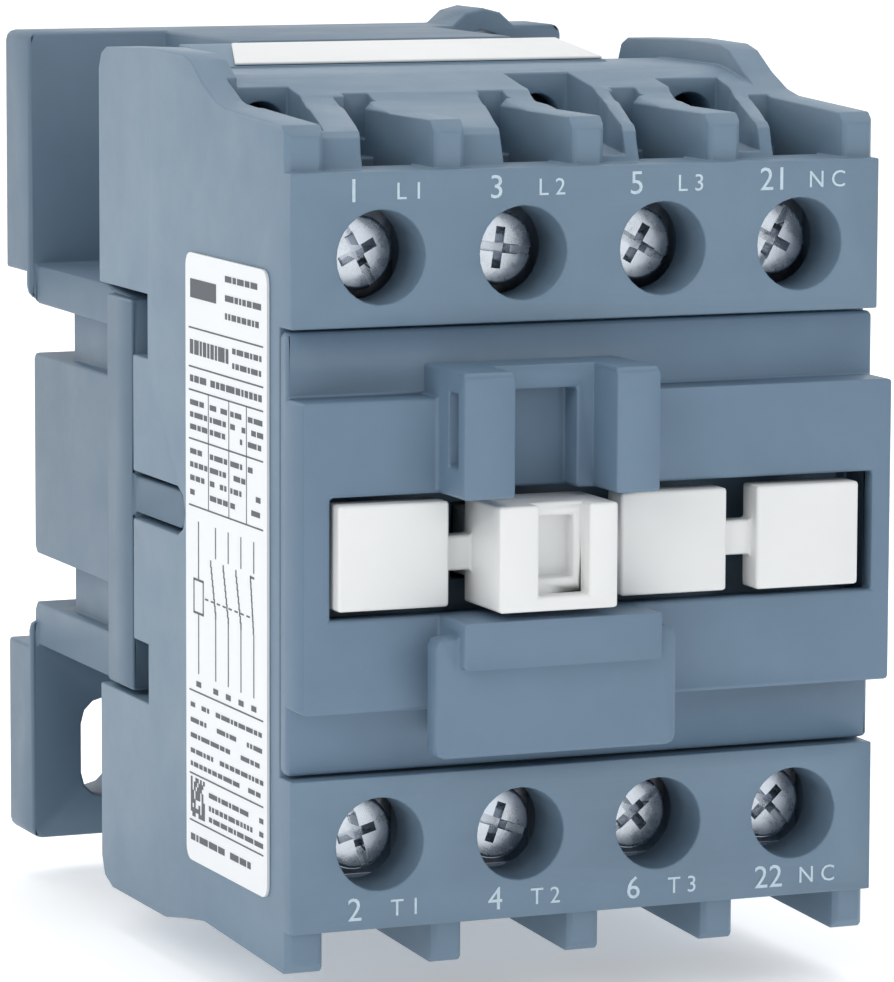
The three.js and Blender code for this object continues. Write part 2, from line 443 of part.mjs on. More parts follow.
// ---- rail latch ------------------------------------------------------------------------
{
  let l = box(-5.9, 5.9, 1.4, 5.5, -38.6, -18.6);
  l = l.add(box(-7.9, 7.9, 1.4, 3.2, -36.9, -18.6));
  l = l.add(prismX([[1.4, -19], [1.4, -16.5], [2.0, -16.1], [3.6, -17.4], [5.0, -19]].reverse(), -5.9, 5.9));
  l = l.add(box(-4.6, 4.6, 1.4, 5.5, -41.4, -38));
  l = l.subtract(box(-2.9, 2.9, 0, 9, -34.7, -24.2));
  l = l.subtract(box(-2.9, 2.9, 3.6, 9, -40.2, -39.2));
  add('rail_latch', l, DARK, 0.6);
  const g = spring(1.7, 0.45, 7.2, 5, 9);
  g.translate(0, 3.2, -32.0);
  add('latch_spring', g, STEEL, 0.35, 0.9);
}

export default group;
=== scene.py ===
import bpy, bmesh, math, random
from mathutils import Vector, Matrix


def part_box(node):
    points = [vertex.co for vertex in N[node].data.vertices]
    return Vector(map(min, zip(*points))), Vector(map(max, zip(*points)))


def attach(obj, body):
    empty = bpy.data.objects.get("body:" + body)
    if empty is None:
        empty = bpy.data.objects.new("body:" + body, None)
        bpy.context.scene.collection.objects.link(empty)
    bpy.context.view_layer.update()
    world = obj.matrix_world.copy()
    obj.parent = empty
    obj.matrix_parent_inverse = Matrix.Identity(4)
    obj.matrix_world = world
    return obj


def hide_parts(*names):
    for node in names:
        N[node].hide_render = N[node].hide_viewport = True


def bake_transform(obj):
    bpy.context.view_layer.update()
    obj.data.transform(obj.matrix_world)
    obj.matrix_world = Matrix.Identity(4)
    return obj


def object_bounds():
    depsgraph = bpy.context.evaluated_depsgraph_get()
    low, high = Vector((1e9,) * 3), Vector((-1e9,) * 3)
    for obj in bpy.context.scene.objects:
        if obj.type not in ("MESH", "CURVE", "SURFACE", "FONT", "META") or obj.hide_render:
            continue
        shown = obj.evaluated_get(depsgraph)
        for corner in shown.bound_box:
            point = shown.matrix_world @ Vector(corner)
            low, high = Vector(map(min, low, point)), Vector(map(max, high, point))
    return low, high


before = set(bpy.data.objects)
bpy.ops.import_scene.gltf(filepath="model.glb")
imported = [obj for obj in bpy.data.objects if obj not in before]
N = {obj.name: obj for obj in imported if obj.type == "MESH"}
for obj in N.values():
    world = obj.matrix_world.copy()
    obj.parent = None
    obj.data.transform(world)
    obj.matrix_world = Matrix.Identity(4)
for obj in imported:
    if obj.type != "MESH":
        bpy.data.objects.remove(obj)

cad_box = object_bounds()
MM = 0.001
RNG = random.Random(41)
scene = bpy.context.scene
scene.view_settings.view_transform = "Standard"
scene.view_settings.look = "None"


# ---------------------------------------------------------------- camera
def make_camera():
    az, el, roll = (math.radians(v) for v in (-22.633, 7.522, 0.22))
    back = Vector((math.sin(az) * math.cos(el), -math.cos(az) * math.cos(el), math.sin(el)))
    fwd = -back
    right = fwd.cross(Vector((0, 0, 1))).normalized()
    up = right.cross(fwd)
    c, s = math.cos(roll), math.sin(roll)
    down = -up
    r0 = right * c - down * s
    r1 = right * s + down * c
    cam = bpy.data.cameras.new("camera")
    cam.lens, cam.sensor_width, cam.sensor_fit = 207.07, 36.0, "AUTO"
    cam.clip_start, cam.clip_end = 0.01, 20
    ob = bpy.data.objects.new("camera", cam)
    m = Matrix((r0, -r1, -fwd)).transposed().to_4x4()
    m.translation = Vector((-0.20033, -0.51960, 0.06911))
    ob.matrix_world = m
    scene.collection.objects.link(ob)
    scene.camera = ob


make_camera()


# ---------------------------------------------------------------- node material helpers
def srgb(r, g, b):
    def f(v):
        v /= 255.0
        return v / 12.92 if v <= 0.04045 else ((v + 0.055) / 1.055) ** 2.4
    return (f(r), f(g), f(b), 1.0)


class Mat:
    def __init__(self, name):
        self.m = bpy.data.materials.new(name)
        self.m.use_nodes = True
        self.nt = self.m.node_tree
        self.nt.nodes.clear()
        self.out = self.n("ShaderNodeOutputMaterial")
        self.p = self.n("ShaderNodeBsdfPrincipled")
        self.l(self.p.outputs[0], self.out.inputs[0])
        self.tc = self.n("ShaderNodeTexCoord")

    def n(self, kind, **kw):
        node = self.nt.nodes.new(kind)
        for k, v in kw.items():
            setattr(node, k, v)
        return node

    def l(self, a, b):
        self.nt.links.new(a, b)

    def noise(self, scale, detail=3.0, rough=0.5, stretch=None, distortion=0.0):
        t = self.n("ShaderNodeTexNoise")
        t.inputs["Scale"].default_value = scale
        t.inputs["Detail"].default_value = detail
        t.inputs["Roughness"].default_value = rough
        t.inputs["Distortion"].default_value = distortion
        src = self.tc.outputs["Object"]
        if stretch:
            mp = self.n("ShaderNodeMapping")
            mp.inputs["Scale"].default_value = stretch
            self.l(src, mp.inputs["Vector"])
            src = mp.outputs[0]
        self.l(src, t.inputs["Vector"])
        return t.outputs["Fac"]

    def ramp(self, fac, stops):
        r = self.n("ShaderNodeValToRGB")
        el = r.color_ramp.elements
        while len(el) > 1:
            el.remove(el[-1])
        el[0].position, el[0].color = stops[0]
        for p, c in stops[1:]:
            e = el.new(p)
            e.color = c
        self.l(fac, r.inputs["Fac"])
        return r.outputs["Color"]

    def rng(self, fac, a0, a1, b0, b1):
        r = self.n("ShaderNodeMapRange")
        for k, v in zip(("From Min", "From Max", "To Min", "To Max"), (a0, a1, b0, b1)):
            r.inputs[k].default_value = v
        self.l(fac, r.inputs["Value"])
        return r.outputs["Result"]

    def mix(self, fac, a, b, blend="MIX"):
        x = self.n("ShaderNodeMix", data_type="RGBA", blend_type=blend)
        for sock, v in ((x.inputs["Factor"], fac), (x.inputs[6], a), (x.inputs[7], b)):
            if hasattr(v, "is_linked") or hasattr(v, "node"):
                self.l(v, sock)
            else:
                sock.default_value = v
        return x.outputs[2]

    def math(self, op, a, b=None):
        x = self.n("ShaderNodeMath", operation=op)
        for i, v in enumerate((a, b)):
            if v is None:
                continue
            if hasattr(v, "node"):
                self.l(v, x.inputs[i])
            else:
                x.inputs[i].default_value = v
        return x.outputs[0]

    def bump(self, height, strength, distance, under=None):
        b = self.n("ShaderNodeBump")
        b.inputs["Strength"].default_value = strength
        b.inputs["Distance"].default_value = distance
        self.l(height, b.inputs["Height"])
        if under is not None:
            self.l(under, b.inputs["Normal"])
        return b.outputs["Normal"]

    def set(self, key, value):
        s = self.p.inputs[key]
        if hasattr(value, "node"):
            self.l(value, s)
        else:
            s.default_value = value
        return self


def shade(c, k):
    return (c[0] * k, c[1] * k, c[2] * k, 1.0)


def plastic(name, col, rough=0.46, grain=2600.0, grain_bump=0.10, spread=0.06, dust=0.0):
    """moulded thermoplastic: slow colour drift, matt spark-eroded grain, faint flow variation of the gloss"""
    m = Mat(name)
    slow = m.noise(42.0, 2.0)
    mid = m.noise(310.0, 4.0, 0.6)
    c = m.ramp(slow, [(0.30, shade(col, 1 - spread)), (0.70, shade(col, 1 + spread))])
    c2 = m.ramp(mid, [(0.35, shade(col, 1 - spread * 0.7)), (0.66, shade(col, 1 + spread * 0.7))])
    c = m.mix(0.45, c, c2)
    if dust:
        d = m.rng(m.noise(900.0, 6.0, 0.7), 0.60, 0.74, 0.0, dust)
        c = m.mix(d, c, shade((min(1, col[0] * 1.35 + 0.03), min(1, col[1] * 1.3 + 0.03), min(1, col[2] * 1.25 + 0.03)), 1))
    m.set("Base Color", c)
    m.set("Roughness", m.rng(m.noise(120.0, 4.0, 0.6), 0.3, 0.7, rough - 0.05, rough + 0.06))
    b1 = m.bump(m.noise(grain, 2.0, 0.55), grain_bump, 0.00006)
    b2 = m.bump(m.noise(95.0, 1.0), 0.06, 0.0004, b1)
    m.set("Normal", b2)
    m.set("IOR", 1.47)
    return m.m


def zinc(name, col, rough=0.30, streak=(1, 1, 1)):
    """zinc plated steel: clouded blue-white plating with fine scratches and dark spots"""
    m = Mat(name)
    cloud = m.noise(520.0, 5.0, 0.65)
    c = m.ramp(cloud, [(0.28, shade(col, 0.72)), (0.52, col), (0.74, (min(1, col[0] * 1.14), min(1, col[1] * 1.15), min(1, col[2] * 1.19), 1))])
    spots = m.rng(m.noise(2400.0, 3.0, 0.6), 0.64, 0.74, 0.0, 0.45)
    c = m.mix(spots, c, shade(col, 0.35))
    m.set("Base Color", c)
    m.set("Metallic", 1.0)
    scr = m.noise(1400.0, 3.0, 0.6, stretch=streak)
    m.set("Roughness", m.rng(cloud, 0.3, 0.75, rough - 0.08, rough + 0.16))
    m.set("Normal", m.bump(scr, 0.22, 0.00004))
    return m.m


BODY = srgb(107, 130, 149)
M_BODY = plastic("body_plastic", BODY, dust=0.10)
M_COVER = plastic("cover_plastic", srgb(101, 124, 145), dust=0.10)
M_BASE = plastic("base_plastic", srgb(96, 117, 135), rough=0.5, dust=0.10)
M_WHITE = plastic("white_plastic", srgb(228, 229, 228), rough=0.36, grain_bump=0.05, spread=0.02)
M_DARK = plastic("dark_plastic", srgb(52, 58, 66), rough=0.5)
M_CARRIER = plastic("carrier_plastic", srgb(44, 48, 54), rough=0.55)
M_BOBBIN = plastic("bobbin_plastic", srgb(206, 198, 178), rough=0.45)
M_LABEL = plastic("label_film", srgb(233, 236, 238), rough=0.33, grain=1200, grain_bump=0.03, spread=0.012)
M_ZINC = zinc("zinc_screw", srgb(205, 211, 218), 0.26)
M_ZINC_PLATE = zinc("zinc_plate", srgb(176, 180, 186), 0.34, (1, 12, 1))
M_SPRING = zinc("spring_wire", srgb(150, 152, 156), 0.28)


def copper_material():
    m = Mat("copper_bar")
    a = m.noise(260.0, 5.0, 0.6)
    c = m.ramp(a, [(0.25, srgb(120, 66, 44)), (0.5, srgb(190, 116, 80)), (0.75, srgb(214, 142, 104))])
    m.set("Base Color", c).set("Metallic", 1.0)
    m.set("Roughness", m.rng(a, 0.3, 0.7, 0.24, 0.42))
    m.set("Normal", m.bump(m.noise(1500.0, 3.0, 0.6, stretch=(12, 1, 1)), 0.18, 0.00004))
    return m.m


def silver_material():
    m = Mat("silver_tip")
    a = m.noise(900.0, 5.0, 0.6)
    m.set("Base Color", m.ramp(a, [(0.3, srgb(168, 166, 160)), (0.7, srgb(224, 223, 218))])).set("Metallic", 1.0)
    m.set("Roughness", m.rng(a, 0.3, 0.7, 0.28, 0.45)).set("Normal", m.bump(m.noise(2600.0), 0.2, 0.00004))
    return m.m


def core_material():
    """stack of 0.5 mm electrical steel sheets"""
    m = Mat("laminated_steel")
    w = m.n("ShaderNodeTexWave", wave_type="BANDS", bands_direction="Z", wave_profile="SIN")
    w.inputs["Scale"].default_value = 2 * math.pi * 1000 / 0.55 / 20.0
    w.inputs["Distortion"].default_value = 0.0
    m.l(m.tc.outputs["Object"], w.inputs["Vector"])
    a = m.noise(210.0, 5.0, 0.6)
    c = m.ramp(a, [(0.3, srgb(92, 94, 99)), (0.6, srgb(134, 137, 142)), (0.8, srgb(122, 112, 100))])
    c = m.mix(m.rng(w.outputs["Fac"], 0.0, 0.35, 0.55, 0.0), c, srgb(40, 41, 44))
    m.set("Base Color", c).set("Metallic", 0.9)
    m.set("Roughness", m.rng(a, 0.3, 0.7, 0.34, 0.52)).set("Normal", m.bump(w.outputs["Fac"], 0.5, 0.00008))
    return m.m


def rubber_material():
    m = Mat("rubber_pad")
    a = m.noise(700.0, 5.0, 0.6)
    m.set("Base Color", m.ramp(a, [(0.3, srgb(24, 24, 25)), (0.7, srgb(40, 40, 42))]))
    m.set("Roughness", m.rng(a, 0.3, 0.7, 0.7, 0.9)).set("Normal", m.bump(a, 0.3, 0.0001))
    return m.m


def ink_material(name, col, rough=0.5):
    m = Mat(name)
    a = m.noise(1500.0, 4.0, 0.6)
    m.set("Base Color", m.ramp(a, [(0.3, shade(col, 0.9)), (0.7, shade(col, 1.08))]))
    m.set("Roughness", m.rng(a, 0.3, 0.7, rough - 0.05, rough + 0.05)).set("Normal", m.bump(a, 0.1, 0.00003))
    return m.m


M_COPPER, M_SILVER, M_CORE, M_RUBBER = copper_material(), silver_material(), core_material(), rubber_material()
M_INK = ink_material("label_ink", srgb(74, 80, 88))
M_MARK = ink_material("marking_paint", srgb(190, 208, 220))


def set_mat(o, mat):
    o.data.materials.clear()
    o.data.materials.append(mat)


# ---------------------------------------------------------------- CAD nodes: materials and rounded edges
def soften(o, width=0.25, segments=2, angle=30, triangles=False):
    w = o.modifiers.new("weld", "WELD")
    w.merge_threshold = 1e-6
    d = o.modifiers.new("planar", "DECIMATE")
    d.decimate_type = "DISSOLVE"
    d.angle_limit = math.radians(1.0)
    if triangles:
        t = o.modifiers.new("faces", "TRIANGULATE")
        t.quad_method = t.ngon_method = "BEAUTY"
    b = o.modifiers.new("edges", "BEVEL")
    b.width = width * MM
    b.segments = segments
    b.limit_method = "ANGLE"
    b.angle_limit = math.radians(angle)
    b.use_clamp_overlap = False
    b.harden_normals = True
    b.miter_outer = "MITER_SHARP"
    for p in o.data.polygons:
        p.use_smooth = True


LOOK = {"base": (M_BASE, 0.3), "front_housing": (M_BODY, 0.16), "front_cover": (M_COVER, 0.3), "marker_strip": (M_WHITE, 0.3),
        "side_label": (M_LABEL, 0), "top_marker": (M_WHITE, 0.12), "fixed_core": (M_CORE, 0.15), "armature": (M_CORE, 0.15),
        "armature_pin": (M_ZINC_PLATE, 0.15), "shading_ring_left": (M_COPPER, 0.1), "shading_ring_right": (M_COPPER, 0.1),
        "core_pad": (M_RUBBER, 0.2), "coil_bobbin": (M_BOBBIN, 0.2), "contact_carrier": (M_CARRIER, 0.2), "rail_latch": (M_DARK, 0.25),
        "coil_winding": (M_COPPER, 0)}
for name, o in N.items():
    if name in LOOK:
        mat, bev = LOOK[name]
    elif name.startswith("coil_terminal") or name.startswith("clamp"):
        mat, bev = M_ZINC_PLATE, 0.12
    elif name.startswith("terminal") or name.startswith("contact_bridge"):
        mat, bev = M_COPPER, 0.12
    elif "spring" in name:
        mat, bev = M_SPRING, 0
    else:
        mat, bev = M_ZINC, 0
    set_mat(o, mat)
    if bev:
        soften(o, bev, triangles=name in ("base", "front_cover", "contact_carrier"))


# ---------------------------------------------------------------- new pieces
def mesh_of(name, verts, faces):
    me = bpy.data.meshes.new(name)
    me.from_pydata([tuple(c * MM for c in v) for v in verts], [], faces)
    bm = bmesh.new()
    bm.from_mesh(me)
    bmesh.ops.recalc_face_normals(bm, faces=bm.faces)
    bm.to_mesh(me)
    bm.free()
    return me


def put(name, me, mat, body=None, sharp=35, replaces=()):
    for p in me.polygons:
        p.use_smooth = True
    me.set_sharp_from_angle(angle=math.radians(sharp))
    me.materials.clear()
    me.materials.append(mat)
    o = bpy.data.objects.new(name, me)
    scene.collection.objects.link(o)
    if body:
        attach(o, body)
    if replaces:
        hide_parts(*replaces)
    return o


def lathe(prof, seg=40):
    """profile of (radius, y) from axis to axis, turned about Y"""
    v, f = [(0, prof[0][1], 0)], []
    for r, y in prof[1:-1]:
        v += [(r * math.cos(2 * math.pi * i / seg), y, r * math.sin(2 * math.pi * i / seg)) for i in range(seg)]
    v.append((0, prof[-1][1], 0))
    rows = len(prof) - 2
    for i in range(seg):
        j = (i + 1) % seg
        f.append((0, 1 + j, 1 + i))
        f.append((len(v) - 1, 1 + (rows - 1) * seg + i, 1 + (rows - 1) * seg + j))
        for k in range(rows - 1):
            a = 1 + k * seg
            f.append((a + i, a + j, a + seg + j, a + seg + i))
    return v, f


def thread(r, depth, pitch, y0, y1, seg=22, per=7):
    v, f = [], []
    rows = int((y1 - y0) / pitch * per)
    for k in range(rows + 1):
        y = y0 + (y1 - y0) * k / rows
        fade = max(0.0, min(1.0, (y - y0 - 0.4) / 0.4, (y1 - y) / 0.5 + 0.25))
        taper = 0.28 * max(0.0, 1 - (y1 - y) / 0.6)
        for i in range(seg):
            ph = (y / pitch - i / seg) % 1.0
            tri = min(1.0, 1.25 * (1 - abs(2 * ph - 1)))
            rr = r - taper - depth * (1 - tri) * fade
            a = 2 * math.pi * i / seg
            v.append((rr * math.cos(a), y, rr * math.sin(a)))
    for k in range(rows):
        for i in range(seg):
            j = (i + 1) % seg
            f.append((k * seg + i, k * seg + j, (k + 1) * seg + j, (k + 1) * seg + i))
    f.append(tuple(range(seg)))
    f.append(tuple(range(rows * seg, rows * seg + seg)))
    return v, f


def taper_bar(l0, w0, l1, w1, y0, y1, turn=0.0):
    v = []
    for y, l, w in ((y0, l0, w0), (y1, l1, w1)):
        for x, z in ((-l, -w), (l, -w), (l, w), (-l, w)):
            v.append((x * math.cos(turn) - z * math.sin(turn), y, x * math.sin(turn) + z * math.cos(turn)))
    return v, [(0, 1, 2, 3), (7, 6, 5, 4), (0, 4, 5, 1), (1, 5, 6, 2), (2, 6, 7, 3), (3, 7, 4, 0)]


def carve(me, cutters):
    o = bpy.data.objects.new("blank", me)
    scene.collection.objects.link(o)
    tools = []
    for v, f in cutters:
        c = bpy.data.objects.new("cutter", mesh_of("cutter", v, f))
        scene.collection.objects.link(c)
        m = o.modifiers.new("cut", "BOOLEAN")
        m.operation, m.solver, m.object = "DIFFERENCE", "EXACT", c
        tools.append(c)
    dg = bpy.context.evaluated_depsgraph_get()
    out = bpy.data.meshes.new_from_object(o.evaluated_get(dg))
    for t in tools + [o]:
        d = t.data
        bpy.data.objects.remove(t)
        bpy.data.meshes.remove(d)
    return out


def joined(name, *meshes):
    bm = bmesh.new()
    for m in meshes:
        bm.from_mesh(m)
    me = bpy.data.meshes.new(name)
    bm.to_mesh(me)
    bm.free()
    return me


def screw_mesh(name, head_r, head_t, shank_r, length):
    """cheese head with a cross recess and a driver slot, threaded shank"""
    c = 0.22
    prof = [(0, -0.02), (head_r * 0.55, 0.0), (head_r - c - 0.12, 0.03), (head_r - c, 0.06), (head_r - 0.05, c + 0.05), (head_r, c + 0.2), (head_r, head_t - 0.15), (head_r - 0.12, head_t - 0.02), (head_r - 0.3, head_t), (0, head_t)]
    l = head_r * 0.62
    head = carve(mesh_of("head", *lathe(prof)), [
        taper_bar(l, 0.46, l * 0.55, 0.34, -0.5, min(1.7, head_t - 0.35)),
        taper_bar(l, 0.46, l * 0.55, 0.34, -0.5, min(1.7, head_t - 0.35), math.pi / 2),
        taper_bar(head_r + 1, 0.36, head_r + 1, 0.33, -0.5, 0.85)])
    shank = mesh_of("shank", *thread(shank_r, 0.3, 0.7, head_t - 0.25, length))
    return joined(name, head, shank)


big = screw_mesh("terminal_screw", 3.33, 2.4, 1.93, 10.6)
small = screw_mesh("coil_screw", 2.68, 2.0, 1.58, 7.8)
TURN = {"screw_upper_1": 62, "screw_upper_2": 8, "screw_upper_3": 31, "screw_upper_4": 118, "screw_lower_1": 74, "screw_lower_2": 20,
        "screw_lower_3": 141, "screw_lower_4": 47, "coil_screw_a1": 15, "coil_screw_a2": 80, "coil_screw_a2_twin": 52}
for name, turn in TURN.items():
    lo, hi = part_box(name)
    me = (small if name.startswith("coil") else big).copy()
    me.transform(Matrix.Translation(((lo.x + hi.x) / 2, lo.y, (lo.z + hi.z) / 2)) @ Matrix.Rotation(math.radians(turn), 4, "Y"))
    put(name + "_v", me, M_ZINC, name, 40, (name,))


def wire_coil(r, wire, length, turns, hand=1, sides=9, per=22):
    """compression spring along +Y from 0, closed end turns"""
    closed = 0.7
    n = int(turns * per)
    rc = r - wire / 2
    a0 = wire / 2
    lead = wire * 1.02
    h = []
    for i in range(n + 1):
        t = turns * i / n
        mid = (length - 2 * a0 - 2 * closed * lead) / (turns - 2 * closed)
        if t < closed:
            y = t * lead
        elif t > turns - closed:
            y = length - 2 * a0 - (turns - t) * lead
        else:
            y = closed * lead + (t - closed) * mid
        h.append(a0 + y)
    h = [h[0]] + [(h[i - 1] + h[i] + h[i + 1]) / 3 for i in range(1, n)] + [h[-1]]
    v, f = [], []
    for i in range(n + 1):
        a = hand * 2 * math.pi * turns * i / n
        er = Vector((math.cos(a), 0, math.sin(a)))
        j, k = min(n, i + 1), max(0, i - 1)
        slope = (h[j] - h[k]) / max(1e-9, (j - k)) * n / turns / (2 * math.pi * rc)
        tan = Vector((-math.sin(a) * hand, slope, math.cos(a) * hand)).normalized()
        eb = tan.cross(er).normalized()
        for q in range(sides):
            b = 2 * math.pi * q / sides
            p = er * (rc + wire / 2 * math.cos(b)) + eb * (wire / 2 * math.sin(b)) + Vector((0, h[i], 0))
            v.append(tuple(p))
    for i in range(n):
        for q in range(sides):
            s = (q + 1) % sides
            f.append((i * sides + q, i * sides + s, (i + 1) * sides + s, (i + 1) * sides + q))
    f.append(tuple(range(sides)))
    f.append(tuple(range(n * sides, n * sides + sides)))
    return v, f


def spring_piece(name, r, wire, turns, along="Y", hand=1):
    lo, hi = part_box(name)
    length = ((hi.y - lo.y) if along == "Y" else (hi.z - lo.z)) / MM
    me = mesh_of(name, *wire_coil(r, wire, length, turns, hand))
    if along == "Z":
        me.transform(Matrix.Rotation(math.pi / 2, 4, "X"))
        me.transform(Matrix.Translation(((lo.x + hi.x) / 2, (lo.y + hi.y) / 2, lo.z)))
    else:
        me.transform(Matrix.Translation(((lo.x + hi.x) / 2, lo.y, (lo.z + hi.z) / 2)))
    return me


for n in ("upper", "lower"):
    name = "return_spring_" + n
    o = put(name + "_v", spring_piece(name, 2.78, 0.6, 6.5), M_SPRING, None, 60, (name,))
    z = (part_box(name)[0].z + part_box(name)[1].z) / 2
    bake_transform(o)
for i in (1, 2, 3, 4):
    name = f"contact_spring_{i}"
    lo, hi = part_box(name)
    o = put(name + "_v", spring_piece(name, 2.28, 0.45, 3.4), M_SPRING, "contact_carrier" if i == 4 else None, 60, (name,))
    if i < 4:
        x = (lo.x + hi.x) / 2
        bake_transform(o)
o = put("latch_spring_v", spring_piece("latch_spring", 1.69, 0.45, 6.0, "Z"), M_SPRING, None, 60, ("latch_spring",))
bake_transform(o)


# coil winding: every turn of the outer layer, between the flanges of the bobbin
def winding():
    lo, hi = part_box("coil_winding")
    X, Z = hi.x / MM - 0.05, hi.z / MM - 0.05
    r = 2.5
    ring = []
    for cx, cz, a0 in ((X - r, Z - r, 0), (-X + r, Z - r, 90), (-X + r, -Z + r, 180), (X - r, -Z + r, 270)):
        for k in range(7):
            a = math.radians(a0 + 15 * k)
            ring.append((cx, cz, math.cos(a), math.sin(a)))
    y0, y1, pitch, per = lo.y / MM + 0.05, hi.y / MM - 0.05, 0.42, 6
    rows = int((y1 - y0) / pitch * per)
    n = len(ring)
    v, f = [], []
    for k in range(rows + 1):
        y = y0 + (y1 - y0) * k / rows
        for i, (cx, cz, c, s) in enumerate(ring):
            ph = ((y - y0) / pitch - i / n) % 1.0
            rr = r - pitch * 0.5 * (1 - math.sqrt(max(0.0, 1 - (2 * ph - 1) ** 2)))
            v.append((cx + rr * c, y, cz + rr * s))
    for y in (y0, y1):
        for i, (cx, cz, c, s) in enumerate(ring):
            t = math.atan2(s, c)
            bx, bz = 7.6, 10.0
            k = min(bx / max(1e-6, abs(cx + r * c)), bz / max(1e-6, abs(cz + r * s)))
            v.append(((cx + r * c) * k, y, (cz + r * s) * k))
    a, b = (rows + 1) * n, (rows + 2) * n
    for i in range(n):
        j = (i + 1) % n
        for k in range(rows):
            f.append((k * n + i, k * n + j, (k + 1) * n + j, (k + 1) * n + i))
        f.append((a + i, a + j, j, i))
        f.append((rows * n + i, rows * n + j, b + j, b + i))
        f.append((b + i, b + j, a + j, a + i))
    return mesh_of("winding", v, f)


M_WIRE = None


def enamel():
    m = Mat("enamelled_wire")
    a = m.noise(420.0, 4.0, 0.6)
    m.set("Base Color", m.ramp(a, [(0.3, srgb(118, 48, 24)), (0.6, srgb(168, 78, 40)), (0.8, srgb(186, 96, 54))]))
    m.set("Metallic", 0.35).set("Roughness", m.rng(a, 0.3, 0.7, 0.2, 0.34))
    m.set("Normal", m.bump(m.noise(1800.0), 0.08, 0.00003))
    return m.m


M_WIRE = enamel()
put("coil_winding_v", winding(), M_WIRE, "housing", 60, ("coil_winding",))

# silver alloy faces of the contacts
for name, o in N.items():
    if name.startswith("contact_bridge") or name.startswith("terminal_"):
        tip = [p for p in o.data.polygons if abs(abs((o.matrix_world @ p.center).z) - 0.0116) < 0.0022]
        lo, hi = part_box(name)
        nc = name.endswith("_4")
        if name.startswith("contact_bridge"):
            edge = lo.y + 0.00085 if nc else hi.y - 0.00085
            tip = [p for p in tip if ((o.matrix_world @ p.center).y < edge) == nc and abs((o.matrix_world @ p.center).y - edge) > 1e-5]
        else:
            y = -0.0627 if nc else -0.0532
            tip = [p for p in tip if ((o.matrix_world @ p.center).y > y + 1e-5 and (o.matrix_world @ p.center).y < y + 0.001) == nc and ((o.matrix_world @ p.center).y < y - 1e-5) != nc]
        o.data.materials.append(M_SILVER)
        for p in tip:
            p.material_index = 1


# rivets through the sheet stacks of the magnet
def rivets(name, places, body):
    bm_all = []
    for x, y in places:
        for d in (-1, 1):
            me = mesh_of("rivet", *lathe([(0, 0.30), (0.55, 0.29), (0.85, 0.2), (1.0, 0.0), (1.0, -0.4), (0, -0.4)], 24))
            me.transform(Matrix.Rotation(math.pi / 2 * d, 4, "X"))
            me.transform(Matrix.Translation((x * MM, y * MM, d * 7.9 * MM)))
            bm_all.append(me)
    put(name, joined(name, *bm_all), M_ZINC_PLATE, body, 40)


rivets("core_rivets", [(-15.5, -7.6), (0, -7.6), (15.5, -7.6)], "housing")
rivets("armature_rivets", [(-16.5, -43.4), (16.5, -43.4)], "contact_carrier")


# ---------------------------------------------------------------- print and markings
def slab(bag, lo, hi):
    v, f = bag
    n = len(v)
    v += [(x, y, z) for z in (lo[2], hi[2]) for y in (lo[1], hi[1]) for x in (lo[0], hi[0])]
    f += [tuple(n + i for i in q) for q in ((0, 2, 3, 1), (4, 5, 7, 6), (0, 1, 5, 4), (2, 6, 7, 3), (0, 4, 6, 2), (1, 3, 7, 5))]


bag = ([], [])
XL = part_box("side_label")[0].x / MM


def ink(y0, y1, z0, z1, turn=True):
    if turn:
        y0, y1 = -112.5 - y0, -112.5 - y1
    slab(bag, (XL - 0.03, min(y0, y1), min(z0, z1)), (XL + 0.05, max(y0, y1), max(z0, z1)))


def dashes(y0, y1, z, h, fill=1.0):
    y = y0
    while y < y1 - 0.6:
        l = RNG.choice((0.5, 0.8, 1.1, 1.6, 2.1))
        if RNG.random() < fill:
            ink(y, min(y + l, y1), z - h / 2, z + h / 2)
        y += l + 0.32


YA, YB = -65.6, -46.9
for z in (17.5, 14.0, 11.9, 7.5, 1.5, -15.3, -22.9, -27.2):
    ink(YA, YB, z - 0.07, z + 0.07)
ink(-65.2, -58.6, 20.2, 21.9)
for z in (22.6, 20.9, 19.3):
    dashes(-56.3, -47.4, z, 0.55)
dashes(YA + 0.3, -55.5, 15.8, 1.3)
dashes(-54.5, YB, 16.4, 0.5)
dashes(-54.5, YB, 15.1, 0.5)
dashes(YA + 0.3, YB, 12.95, 0.6, 0.9)
for y in (-60.6, -55.4, -51.0):
    ink(y - 0.06, y + 0.06, 1.5, 11.9)
for z in (10.8, 9.7, 8.6, 6.4, 5.2, 4.0, 2.7):
    for a, b in ((YA + 0.3, -60.9), (-60.2, -55.7), (-55.0, -51.3), (-50.6, YB)):
        dashes(a, b, z, 0.48, 0.75)
# contact diagram: coil, three closing poles and one opening pole
for k, y in enumerate((-63.2, -58.8, -55.6, -52.4, -49.2)):
    ink(y - 0.09, y + 0.09, -2.6, 0.2)
    ink(y - 0.09, y + 0.09, -13.6, -10.4)
    if k == 0:
        ink(y - 1.3, y + 1.3, -5.2, -5.0)
        ink(y - 1.3, y + 1.3, -8.2, -8.0)
        ink(y - 1.3, y - 1.1, -8.2, -5.0)
        ink(y + 1.1, y + 1.3, -8.2, -5.0)
        ink(y - 0.09, y + 0.09, -5.0, -2.6)
        ink(y - 0.09, y + 0.09, -10.4, -8.2)
    else:
        ink(y - 0.09, y + 0.09, -10.4, -8.0)
        for j in range(9):
            u = -1.25 * j / 8 if k < 4 else -0.7 + 0.7 * (8 - j) / 8 - 0.1
            ink(y + u - 0.12, y + u + 0.12, -8.0 + 0.56 * j, -7.35 + 0.56 * j)
        if k == 4:
            ink(y - 0.9, y + 0.1, -3.1, -2.9)
    ink(y - 0.6, y + 0.6, -14.8, -14.3)
